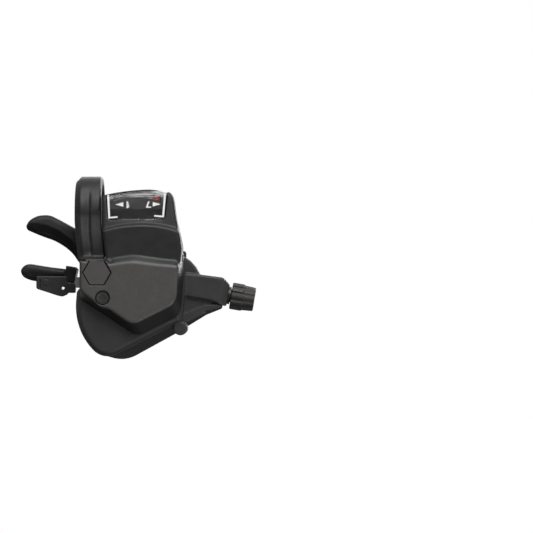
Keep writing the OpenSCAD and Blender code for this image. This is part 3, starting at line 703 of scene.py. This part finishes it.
PADDLE = curved(
    [(-26.4, -21.2), (-26.1, -22.7), (-25.2, -24.0), (-22.6, -25.1), (-20.1, -25.5), (-17.5, -24.5),
     (-8.8, -23.9), (-9.2, -20.8), (-15.8, -20.0), (-21.7, -19.0), (-23.6, -18.8), (-25.3, -19.6)],
    [0.7, 0.7, 0.8, 1.2, 1.2, 1.2, 0.3, 0.3, 1.8, 0.9, 0.9, 0.9])
BLOCK = curved(
    [(-9.1, -25.6), (-6.0, -26.2), (-5.5, -23.6), (-4.9, -21.0), (-5.8, -20.1), (-9.2, -19.5)], 0.35)
TAB = curved(
    [(-20.4, -23.4), (-20.4, -28.2), (-16.0, -29.6), (-12.1, -30.9), (-10.4, -31.2), (-8.4, -30.2),
     (-7.9, -23.4)],
    [0.3, 0.8, 0.8, 0.6, 0.6, 0.7, 0.2])
FOOT = curved([(-8.6, -25.9), (-8.6, -29.8), (-5.6, -29.8), (-5.5, -26.9), (-6.0, -26.0)], 0.5)
PAD = curved(
    [(-25.6, -4.4), (-25.0, -5.9), (-19.6, -8.2), (-14.4, -10.0), (-10.3, -12.5), (-7.5, -15.0),
     (-4.6, -19.4), (0.4, -21.0), (4.4, -17.6), (2.6, -11.4), (-2.8, -6.8), (-7.1, -5.0),
     (-11.5, -2.5), (-16.6, 0.1), (-21.2, -0.3), (-24.3, -2.1)],
    [0.8, 0.8, 2.2, 2.0, 1.6, 1.6, 2.0, 2.0, 2.0, 3.0, 2.0, 2.0, 2.4, 2.2, 1.6, 1.4])


def paddle_field(x, y, z):
    """Lower lever's finger pad, with a crest along its front and a block at its root."""
    d = polygon(x, z, PADDLE)
    up = ridge(x, z, [(-27, -21.5), (-22, -21.0), (-9, -22.2)])
    front = 0.7 + 0.13 * np.maximum(up, 0) + 0.4 * np.maximum(-up - 0.7, 0)
    back = 10.6 - 0.35 * np.maximum(up, 0) - 1.8 * step((-20 - x) / 7)
    body = smax(d, smax(front - y, y - back, 0.8), 1.8)
    block = smax(polygon(x, z, BLOCK), np.abs(y - 5.6) - 5.0, 0.6)
    return smin(body, block, 0.5)


def tab_field(x, y, z):
    """Flat plate under the lower lever's pad, with a small hole and a shallow mark by the rivet."""
    plate = smax(polygon(x, z, TAB), np.abs(y - 2.65) - 1.95, 0.5)
    foot = smax(polygon(x, z, FOOT), np.abs(y - 2.7) - 2.1, 0.4)
    solid = smin(plate, foot, 0.2)
    solid = smax(solid, 0.62 - np.hypot(x + 10.3, z + 27.9), 0.15)
    step_line = np.maximum(np.abs(x + 19.0) - 0.2, np.abs(z + 26.4) - 1.6)
    return smax(solid, -np.maximum(step_line, y - 1.05), 0.2)


def rivet_field(x, y, z):
    """Round rivet head that holds the plate."""
    r = np.hypot(x + 16.8, z + 25.8)
    return smax(r - 1.2, np.abs(y - 2.6) - 2.1, 0.3)


def pad_field(x, y, z):
    """Upper lever's finger pad, whose front slopes away on both sides of a crest."""
    d = polygon(x, z, PAD)
    line = [(-25.5, -3.2), (-24.1, -3.0), (-20.6, -3.3), (-16.9, -4.1), (-12.3, -6.2), (-7.8, -9.6),
            (-5.8, -12.5), (-2.0, -17.0)]
    up = ridge(x, z, line)
    front = 13.2 + np.clip(0.18 * (up - 0.15), 0, 1.2) + np.clip(0.42 * (-up - 0.15), 0, 1.2)
    back = 20.0 - 0.25 * np.maximum(up, 0) - 1.6 * step((-16 - x) / 10)
    return smax(d, smax(front - y, y - back, 0.9), 2.0)


# ---------------------------------------------------------------- adjuster

def knob_field(x, y, z):
    """Barrel adjuster in its own frame: +Z outwards, the grip starts at zero."""
    r = np.hypot(x, y)
    a = np.arctan2(y, x)
    ribs = 12
    wave = np.abs((a * ribs / (2 * math.pi)) % 1.0 - 0.5) * 2
    rib = 0.55 * step((wave - 0.28) / 0.35)
    proud = 1 - 0.55 * step((z - 4.2) / 0.8)
    radius = 4.45 + rib * proud - 0.075 * np.maximum(z - 4.6, 0)
    grip = smax(r - radius, np.maximum(0.05 - z, z - 8.95), 0.6)
    shank = np.maximum(r - 2.5, between(z, -11.0, 0.2))
    solid = np.minimum(grip, shank)
    solid = smax(solid, -np.maximum(r - 2.6, 3.0 - z), 0.3)
    return np.maximum(solid, 0.9 - r)


# ---------------------------------------------------------------- printed marks

def surface_y(x, z):
    """Depth of the window's outer surface."""
    low, high = np.full_like(x, -24.0), np.full_like(x, -9.0)
    for _ in range(30):
        mid = (low + high) / 2
        outside = neck_field(x, mid, z) > LENS_PROUD
        low, high = np.where(outside, mid, low), np.where(outside, high, mid)
    return (low + high) / 2


def printed(name, outlines, material):
    """Flat marks laid on the window, cut fine enough to follow its curve."""
    bm = bmesh.new()
    for points in outlines:
        verts = [bm.verts.new((x, 0, z)) for x, z in points]
        face = bm.faces.new(verts)
        bmesh.ops.triangulate(bm, faces=[face])
    for _ in range(3):
        long_edges = [e for e in bm.edges if e.calc_length() > 0.7]
        if long_edges:
            bmesh.ops.subdivide_edges(bm, edges=long_edges, cuts=1)
            bmesh.ops.triangulate(bm, faces=bm.faces[:])
    base = bm.verts[:]
    co = np.array([v.co for v in base])
    for v, y in zip(base, surface_y(co[:, 0], co[:, 2])):
        v.co.y = y + 0.04
    grown = bmesh.ops.extrude_face_region(bm, geom=bm.faces[:])["geom"]
    raised = [g for g in grown if isinstance(g, bmesh.types.BMVert)]
    bmesh.ops.translate(bm, vec=(0, -0.13, 0), verts=raised)
    bmesh.ops.recalc_face_normals(bm, faces=bm.faces[:])
    bmesh.ops.scale(bm, vec=(MM, MM, MM), verts=bm.verts)
    # The extrusion leaves its faces in another order on each run, so they are sorted by place.
    along = Vector((1.0, 0.3719, 0.0613))
    bm.verts.sort(key=lambda v: v.co.dot(along))
    bm.edges.sort(key=lambda e: (e.verts[0].co + e.verts[1].co).dot(along))
    bm.faces.sort(key=lambda f: f.calc_center_median().dot(along))
    mesh = bpy.data.meshes.new(name)
    bm.to_mesh(mesh)
    bm.free()
    return new_object(name, mesh, material)


def turned(points, at, scale=1.0):
    """Digit outline turned half a turn, as the rider reads it from behind the bar."""
    return [(at[0] - scale * u, at[1] - scale * v) for u, v in points]


ONE = [(-0.2, -1.2), (0.3, -1.2), (0.3, 1.2), (-0.15, 1.2), (-0.75, 0.75), (-0.55, 0.4), (-0.2, 0.65)]
SEVEN = [(-0.35, -1.15), (0.2, -1.15), (0.95, 0.8), (0.95, 1.2), (-0.9, 1.2), (-0.9, 0.75),
         (0.35, 0.75)]


def window_marks():
    """Outlines of the corner frames, the arrows and the two end numbers."""
    left_frame = [(7.45, 6.7), (8.0, -2.0), (11.4, -1.75), (11.4, -1.15), (8.65, -1.4), (8.15, 6.85)]
    right_frame = [(29.4, 8.0), (28.7, 8.05), (27.95, -0.95), (25.0, -0.7), (25.0, -1.3), (28.6, -1.6)]
    left_arrow = [(10.5, 3.2), (13.5, 2.35), (13.5, 4.05)]
    right_arrow = [(27.3, 3.3), (24.4, 4.15), (24.4, 2.45)]
    return [left_frame, right_frame, left_arrow, right_arrow,
            turned(ONE, (15.0, 3.1), 1.05), turned(SEVEN, (22.9, 3.2), 1.0)]


# ---------------------------------------------------------------- assembling

def build_shells(m):
    """Cover, housing and window, all fixed to the housing body."""
    cover = moulded("cover_shell", cover_field, (-4, -24, -47.5), (38, -10.5, 11), 0.34,
                    m["cover"])
    place(cover, "housing", "cover_plastic", "front_cover")
    housing = moulded("housing_shell", housing_field, (-6, -18.5, -55.5), (54, -1, 11), 0.36,
                      m["housing"])
    place(housing, "housing", "housing_plastic", "main_housing", "indicator_housing",
          "cable_boss")
    lens = moulded("window_lens", lens_field, (6, -20.5, -4), (31, -11, 10.5), 0.22, m["window"])
    place(lens, "housing", "window_clear", "indicator_window")
    mask = moulded("window_mask", mask_field, (6, -20, -4), (31, -11, 10.5), 0.22, m["mask"])
    place(mask, "housing", "scale_black", "indicator_scale")
    floor = moulded("slot_floor", slot_floor_field, (8, -13.4, 2), (29, -11.9, 8.6), 0.15,
                    m["groove"])
    place(floor, "housing", "scale_black")
    marks = printed("window_marks", window_marks(), m["print"])
    place(marks, "housing", "scale_black")


def build_clamp(m):
    """Band around the handlebar."""
    band = moulded("clamp_band_body", clamp_field, (-6.5, -22, -28), (10, 15.5, 15.5), 0.33,
                   m["clamp"])
    place(band, "housing", "clamp_plastic", "clamp_band")


def build_levers(m):
    """Moulded parts of the lower and the upper lever, each on its own body."""
    paddle = moulded("thumb_pad", paddle_field, (-28, -0.5, -27.5), (-3.5, 12, -17.5), 0.25,
                     m["lever"])
    place(paddle, "thumb_lever", "lever_plastic", "thumb_paddle")
    tab = moulded("thumb_plate", tab_field, (-22, -0.3, -32.5), (-4.5, 6.8, -22.5), 0.22,
                  m["lever_plate"])
    place(tab, "thumb_lever", "lever_plate_plastic", "paddle_plate")
    rivet = moulded("thumb_rivet", rivet_field, (-19, 0, -28), (-15, 5, -24), 0.15,
                    m["lever_plate"])
    place(rivet, "thumb_lever", "lever_plate_plastic", "paddle_rivet")
    pad = moulded("release_pad_body", pad_field, (-27.5, 12.8, -22.5), (6, 21, 1.5), 0.28,
                  m["lever"])
    place(pad, "release_lever", "lever_plastic", "release_pad")


def build_adjuster(m):
    """Barrel adjuster, made in its own frame and moved onto the cable line."""
    knob = moulded("adjuster_grip", knob_field, (-5.6, -5.6, -11.6), (5.6, 5.6, 9.6), 0.17,
                   m["knob"], CABLE)
    place(knob, "barrel", "knob_plastic", "barrel_adjuster")


def finish_cad_nodes(m):
    """Edge width in millimetres and material of every CAD node that stays visible."""
    looks = {
        "base_plate": (0.25, "plate"), "clamp_bolt": (0.25, "zinc"), "clamp_nut": (0.2, "zinc"),
        "hex_cap": (0.22, "cap"), "cover_screw": (0.08, "black_steel"),
        "base_screws": (0.1, "black_steel"), "indicator_needle": (0.06, "red"),
        "needle_pin": (0.1, "zinc"), "idler_gear": (0.05, "acetal"), "idler_pin": (0.1, "zinc"),
        "drum_pinion": (0.05, "acetal"), "cable_drum": (0.12, "drum"),
        "ratchet_wheel": (0.08, "bright"), "main_axle": (0.15, "zinc"), "drum_spring": (0, "spring"),
        "hold_pawl": (0.1, "bright"), "hold_pawl_pin": (0.1, "zinc"),
        "hold_pawl_spring": (0, "spring"), "drive_pawl": (0.1, "bright"),
        "drive_pawl_pin": (0.1, "zinc"), "drive_pawl_spring": (0, "spring"),
        "thumb_arm": (0.18, "bright"), "thumb_spring": (0, "spring"), "release_arm": (0.18, "bright"),
        "release_spring": (0, "spring"), "base_washer": (0.1, "zinc"), "front_spacer": (0.1, "zinc"),
        "rear_spacer": (0.1, "zinc"), "lever_cap": (0.3, "plate"), "axle_nut": (0.25, "zinc"),
        "detent_collar": (0.1, "collar"),
    }
    for node, (width, look) in looks.items():
        soften(node, width, m[look])


# ---------------------------------------------------------------- studio

def world_light():
    """Soft light that is brighter from above and behind, and plain white for the camera."""
    world = bpy.data.worlds.new("studio")
    world.use_nodes = True
    tree = world.node_tree
    new, link = tree.nodes.new, tree.links.new
    lean = new("ShaderNodeVectorMath")
    lean.operation = "DOT_PRODUCT"
    lean.inputs[1].default_value = (0.25, 0.6, 0.75)
    link(new("ShaderNodeTexCoord").outputs["Generated"], lean.inputs[0])
    height = new("ShaderNodeMapRange")
    for name, number in (("From Min", -0.7), ("From Max", 0.9), ("To Min", 0.075), ("To Max", 0.55)):
        height.inputs[name].default_value = number
    link(lean.outputs["Value"], height.inputs["Value"])
    seen = new("ShaderNodeMix")
    link(new("ShaderNodeLightPath").outputs["Is Camera Ray"], seen.inputs["Factor"])
    link(height.outputs["Result"], seen.inputs["A"])
    seen.inputs["B"].default_value = 1.0
    background = tree.nodes["Background"]
    background.inputs["Color"].default_value = (1, 1, 1, 1)
    link(seen.outputs["Result"], background.inputs["Strength"])
    return world


def studio_floor():
    """Plain floor below the unit, which casts no light or shadow onto it."""
    pale = Shader("studio_floor", (0.8, 0.8, 0.8), 0.8)
    pale.colour_from(pale.tint(pale.noise(6, 2), (0.79, 0.79, 0.79), (0.81, 0.81, 0.81)))
    bm = bmesh.new()
    bmesh.ops.create_grid(bm, x_segments=4, y_segments=4, size=0.8,
                          matrix=Matrix.Translation((0.02, 0, -0.25)))
    mesh = bpy.data.meshes.new("studio_floor")
    bm.to_mesh(mesh)
    bm.free()
    floor = new_object("studio_floor", mesh, pale.material)
    floor.visible_diffuse = floor.visible_glossy = floor.visible_shadow = False


def area_light(name, at, aim, size, power):
    """Rectangular light at one point, in metres, that faces another."""
    data = bpy.data.lights.new(name, "AREA")
    data.shape = "RECTANGLE"
    data.size, data.size_y = size
    data.energy = power
    obj = bpy.data.objects.new(name, data)
    bpy.context.scene.collection.objects.link(obj)
    obj.location = at
    obj.rotation_euler = (Vector(aim) - Vector(at)).to_track_quat("-Z", "Y").to_euler()


def studio():
    """World, floor and lights."""
    scene = bpy.context.scene
    scene.world = world_light()
    scene.view_settings.view_transform = "Standard"
    studio_floor()
    middle = (0.015, 0.0, -0.02)
    area_light("top_light", (0.05, -0.25, 0.6), middle, (0.7, 0.3), 2.6)
    area_light("key_light", (0.15, -0.65, 0.6), middle, (0.5, 0.3), 4.0)
    area_light("low_light", (0.42, -0.6, -0.55), middle, (0.5, 0.3), 2.3)
    area_light("right_rim", (0.4, 0.45, 0.1), middle, (0.12, 0.5), 2.6)
    area_light("back_light", (0.1, 0.7, 0.3), middle, (0.6, 0.4), 2.2)


def camera():
    """Front view, straight along +Y, with the unit left of centre."""
    distance = 1.0
    view_width = 0.20115  # metres seen at that distance
    data = bpy.data.cameras.new("camera")
    data.sensor_width = 36
    data.lens = data.sensor_width * distance / view_width
    obj = bpy.data.objects.new("camera", data)
    bpy.context.scene.collection.objects.link(obj)
    obj.location = (0.0666, -distance, -0.0198)
    obj.rotation_euler = (math.pi / 2, 0, 0)
    bpy.context.scene.camera = obj


materials = build_materials()
finish_cad_nodes(materials)
build_shells(materials)
build_clamp(materials)
build_levers(materials)
build_adjuster(materials)
studio()
camera()
